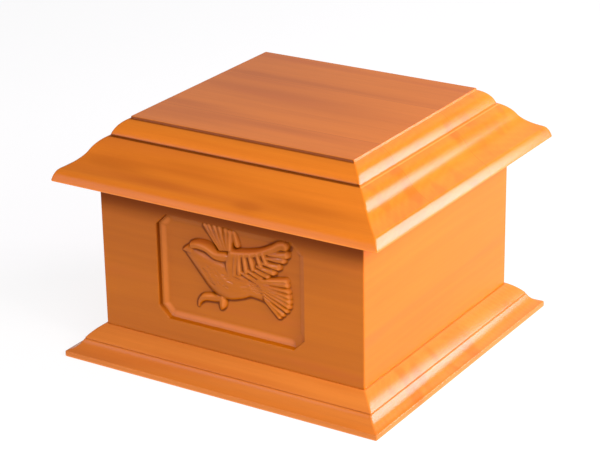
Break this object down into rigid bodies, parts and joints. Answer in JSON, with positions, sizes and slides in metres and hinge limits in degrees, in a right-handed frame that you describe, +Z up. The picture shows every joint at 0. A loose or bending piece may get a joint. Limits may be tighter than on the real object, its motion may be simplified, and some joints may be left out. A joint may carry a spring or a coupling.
{
  "type": "cremation urn box",
  "caption": "Wooden urn box with a lift-off moulded lid, a moulded base and a flying dove carved in a sunk panel on the front.",
  "frame": {"origin": "centre of the underside of the base", "axes": "+X along the front, to the right of someone facing it; the carved front faces -Y; +Z up"},
  "size_m": [0.25, 0.2426, 0.1694],
  "materials": {
    "base_wood": "satin varnish over honey stain",
    "panel_wood": "satin varnish over honey stain",
    "lid_wood": "satin varnish over honey stain"
  },
  "bodies": {
    "root": {"base": "base_wood", "front_panel": "panel_wood", "right_panel": "panel_wood", "back_panel": "panel_wood", "left_panel": "panel_wood", "lid": "lid_wood"}
  },
  "joints": []
}
